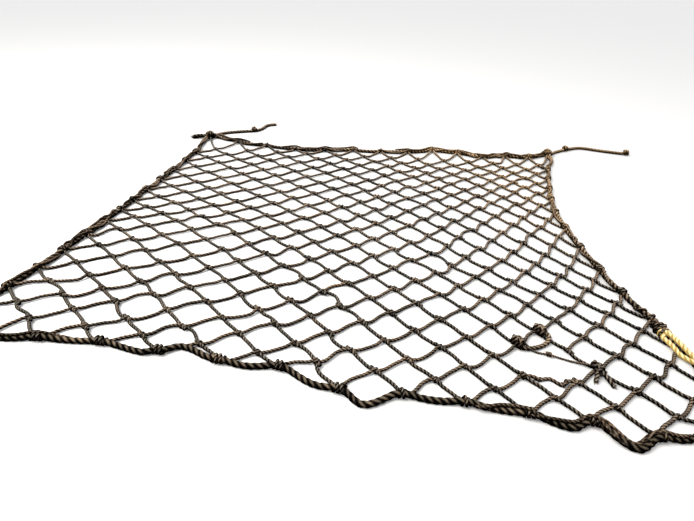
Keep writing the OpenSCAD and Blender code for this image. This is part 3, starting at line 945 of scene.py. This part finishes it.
def mend_splice():
    """A length of netting rope spliced in across a gap."""
    a, b = ends_of(islands("mend_splice")[0])
    out = unit(b - a)
    across = np.cross(UP, out)
    line = [
        lifted(a - out * 0.022, KNOT_Z),
        lifted(a + out * 0.015, 0.018),
        lifted(a * 0.75 + b * 0.25 + across * 0.018, NETTING_LIE),
        lifted(a * 0.5 + b * 0.5 - across * 0.008, NETTING_LIE),
        lifted(a * 0.25 + b * 0.75 + across * 0.004, NETTING_LIE),
        lifted(b - out * 0.015, 0.018),
        lifted(b + out * 0.022, KNOT_Z),
    ]
    piece = Piece()
    path = smooth_path(line, STEP)
    piece.tube(path, NETTING_D, 12, tone=0.5)
    # Tucked strands bind the splice near its ends
    for share in (0.2, 0.3, 0.72):
        at = path[int(share * len(path))]
        piece.wind(
            at, out, UP, diameter=0.0085, around=8, tone=0.7,
            radius=0.0085, turns=1.5, length=0.02, step=0.004, flat=0.9,
        )
    return piece.make("mend_splice_rope", NETTING, "netting_rope", "mend_splice")


# ---- Materials ----

# Ramps from grooves in painted shade and dirt to worn ridges with painted highlights; CHARCOAL and
# TAN are also painted shaded and lit copies of one rope
CHARCOAL = [(0.0, (0.001, 0.001, 0.001)), (0.25, (0.022, 0.021, 0.019)), (0.6, (0.34, 0.31, 0.265))]
TAN = [(0.0, (0.006, 0.004, 0.003)), (0.25, (0.12, 0.082, 0.056)), (0.6, (0.68, 0.5, 0.36))]
GOLDEN = [(0.0, (0.02, 0.011, 0.004)), (0.25, (0.23, 0.138, 0.064)), (0.6, (0.82, 0.58, 0.36))]
SOOT = [(0.0, (0.001, 0.001, 0.001)), (0.3, (0.014, 0.012, 0.01)), (0.65, (0.24, 0.2, 0.15))]
STRAW = [(0.0, (0.4, 0.26, 0.07)), (0.25, (0.78, 0.57, 0.2)), (0.6, (0.95, 0.8, 0.42))]
PALE_STRAW = [(0.0, (0.5, 0.36, 0.12)), (0.25, (0.86, 0.68, 0.3)), (0.6, (0.97, 0.88, 0.58))]
# What the front left of the net is darkened by
FRONT_DARKENING = [(0.0, (1, 1, 1)), (1.0, (0.58, 0.56, 0.53))]


class Nodes:
    """A short way to write a material's node tree."""

    def __init__(self, name):
        self.material = bpy.data.materials.new(name)
        self.material.use_nodes = True
        self.tree = self.material.node_tree
        self.shader = self.tree.nodes["Principled BSDF"]

    def add(self, kind, inputs=(), **values):
        node = self.tree.nodes.new(kind)
        for key, value in values.items():
            setattr(node, key, value)
        for key, value in dict(inputs).items():
            self.put(node.inputs[key], value)
        return node

    def put(self, socket, value):
        if isinstance(value, bpy.types.NodeSocket):
            self.tree.links.new(value, socket)
        else:
            socket.default_value = value

    def attribute(self, name):
        return self.add("ShaderNodeAttribute", attribute_name=name)

    def math(self, operation, a, b=0.0, clamp=False):
        node = self.add("ShaderNodeMath", {0: a, 1: b}, operation=operation, use_clamp=clamp)
        return node.outputs[0]

    def noise(self, vector, scale, detail, roughness=0.6):
        values = {"Vector": vector, "Scale": scale, "Detail": detail, "Roughness": roughness}
        return self.add("ShaderNodeTexNoise", values).outputs["Fac"]

    def mix(self, share, a, b, blend="MIX"):
        node = self.add("ShaderNodeMix", data_type="RGBA", blend_type=blend)
        self.put(node.inputs["Factor"], share)
        self.put(node.inputs[6], a)
        self.put(node.inputs[7], b)
        return node.outputs[2]

    def ramp(self, value, stops):
        node = self.add("ShaderNodeValToRGB", {"Fac": value})
        while len(node.color_ramp.elements) < len(stops):
            node.color_ramp.elements.new(0.5)
        for element, (place, colour) in zip(node.color_ramp.elements, stops):
            element.position = place
            element.color = (*colour, 1)
        return node.outputs["Color"]


def rope_material(name, dark, light, golden, grime=0.5, darken_front=True):
    """Twisted plant fibre: painted shade between the strands, ridges pale partly from wear and
    partly as painted highlights, painted light from above, dirt, darkening at the front left and a
    painted pool of sunlight.
    """
    n = Nodes(name)
    lay = n.attribute("lay").outputs["Vector"]
    ridge = n.attribute("ridge").outputs["Fac"]
    tone = n.attribute("tone").outputs["Fac"]
    sun = n.attribute("sun").outputs["Fac"]
    top = n.attribute("top").outputs["Fac"]
    place = n.add("ShaderNodeTexCoord").outputs["Object"]
    stretched = n.add("ShaderNodeMapping", {"Vector": lay, "Scale": (55, 7, 7)}).outputs["Vector"]
    yarn = n.noise(stretched, 1.0, 6, 0.7)
    fluff = n.noise(place, 420, 4, 0.7)
    patches = n.noise(place, 9, 5, 0.65)
    broad = n.noise(place, 1.7, 3, 0.5)
    # How worn and pale each spot is: ridges are, partly worn and partly a painted highlight, and so
    # are dry yarns and tops painted lit from above; grooves in painted shade, undersides in painted
    # shade and dirty patches are not
    # Ridges are painted pale, partly as wear and partly as painted highlights, and grooves dark as
    # painted shade between the strands
    wear_and_light = n.math("MULTIPLY", n.math("MULTIPLY", ridge, ridge), 0.75)
    wear_and_light = n.math("ADD", wear_and_light, n.math("MULTIPLY", yarn, 0.7))
    wear_and_light = n.math("ADD", wear_and_light, n.math("MULTIPLY", fluff, 0.3))
    # Tops are painted lighter and undersides darker, as light from above would make them
    wear_and_light = n.math("ADD", wear_and_light, n.math("MULTIPLY", top, 0.6))
    wear_and_light = n.math("SUBTRACT", wear_and_light, 1.06, clamp=True)
    mottle = n.math("MULTIPLY", n.math("SUBTRACT", patches, 0.5), 1.3)
    shade = n.math("ADD", tone, mottle, clamp=True)
    # The tone picks the dark or the pale ramp; on the netting bars it is painted shade or painted
    # light by the bar's way
    dark_side = n.ramp(wear_and_light, dark)
    light_side = n.ramp(wear_and_light, light)
    colour = n.mix(shade, dark_side, light_side)
    # The far right is painted golden, a painted pool of sunlight
    gold = n.math("MULTIPLY", sun, n.math("ADD", n.math("MULTIPLY", broad, 1.4), 0.1), clamp=True)
    colour = n.mix(gold, colour, n.ramp(wear_and_light, golden))
    # The front left of the net is made darker
    if darken_front:
        front_dimming = n.ramp(n.attribute("front").outputs["Fac"], FRONT_DARKENING)
        colour = n.mix(1.0, colour, front_dimming, "MULTIPLY")
    dirt = n.ramp(patches, [(0.3, (1 - grime,) * 3), (0.62, (1, 1, 1))])
    colour = n.mix(1.0, colour, dirt, "MULTIPLY")
    n.put(n.shader.inputs["Base Color"], colour)
    rough = n.add("ShaderNodeMapRange", {"Value": yarn, "To Min": 0.72, "To Max": 0.95})
    n.put(n.shader.inputs["Roughness"], rough.outputs["Result"])
    n.put(n.shader.inputs["Specular IOR Level"], 0.0)
    height = n.math("ADD", n.math("MULTIPLY", yarn, 0.8), n.math("MULTIPLY", fluff, 0.4))
    bump = n.add("ShaderNodeBump", {"Height": height, "Strength": 0.75, "Distance": 0.0012})
    n.put(n.shader.inputs["Normal"], bump.outputs["Normal"])
    return n.material


NETTING = rope_material("netting_rope", CHARCOAL, TAN, GOLDEN)
BORDER = rope_material("border_rope", SOOT, TAN, GOLDEN)
TIE = rope_material("tie_rope", CHARCOAL, TAN, GOLDEN, 0.35)
YELLOW = rope_material("yellow_rope", STRAW, PALE_STRAW, PALE_STRAW, 0.2, False)
CORD = rope_material("mend_cord", CHARCOAL, TAN, TAN, 0.35)


def floor_material():
    n = Nodes("floor")
    n.put(n.shader.inputs["Base Color"], (0.93, 0.93, 0.93, 1))
    n.put(n.shader.inputs["Roughness"], 0.9)
    return n.material


# ---- Stage ----

FLOOR_SIZE = 60
WORLD_STRENGTH = 0.9
LAMP_WATTS = 400
LAMP_SIZE = 4.0
LAMP_COLOUR = (1.0, 0.965, 0.91)
LAMP_AT = (-3.2, -1.8, 4.2)
LAMP_AIM = Vector((0, 0.2, 0))


def add_stage():
    bpy.ops.mesh.primitive_plane_add(size=FLOOR_SIZE, location=(0, 0, 0))
    floor = bpy.context.object
    floor.name = "floor"
    floor.data.materials.append(floor_material())
    world = bpy.data.worlds.new("studio")
    bpy.context.scene.world = world
    world.use_nodes = True
    light = world.node_tree.nodes["Background"]
    light.inputs["Color"].default_value = (1, 1, 1, 1)
    light.inputs["Strength"].default_value = WORLD_STRENGTH
    bpy.context.scene.view_settings.view_transform = "Standard"
    lamp = bpy.data.lights.new("key", "AREA")
    lamp.energy = LAMP_WATTS
    lamp.size = LAMP_SIZE
    lamp.color = LAMP_COLOUR
    holder = bpy.data.objects.new("key", lamp)
    bpy.context.scene.collection.objects.link(holder)
    holder.location = LAMP_AT
    aim = LAMP_AIM - holder.location
    holder.rotation_euler = aim.to_track_quat("-Z", "Y").to_euler()


# ---- The whole net ----


def build():
    add_camera()
    tether_knot("tether_left_knot", LEFT_ROUTE, LEFT_KNOT_AT)
    tether_knot("tether_right_knot", RIGHT_ROUTE, RIGHT_KNOT_AT)
    tether_knot("tether_right_end_knot", RIGHT_ROUTE, len(RIGHT_ROUTE) - 2)
    tether("tether_left", "corner_knot_far_left", LEFT_ROUTE, "bare", ["tether_left_knot_turns"])
    tether(
        "tether_right", "corner_knot_far_right", RIGHT_ROUTE, "knot",
        ["tether_right_knot_turns", "tether_right_end_knot_turns"],
    )
    crossings, raw = read_crossings()
    bars = join_bars(crossings, raw)
    edge = outline(crossings)
    ways = tangents(edge)
    for r in range(1, ROWS + 1):
        netting_row(r, bars, crossings)
    for name, run in stretches(edge):
        border(name, run, ways)
    for strip in range(1, STRIPS + 1):
        hitches(strip, crossings, ways)
    for node in CORNER_KNOTS:
        corner_knot(node, crossings, ways)
    bitter_end()
    yellow_lashing()
    yellow_knot()
    mend_knots(crossings)
    mend_loop(crossings)
    mend_double_knot()
    mend_cord()
    mend_cord_knot()
    mend_splice()
    add_stage()


build()
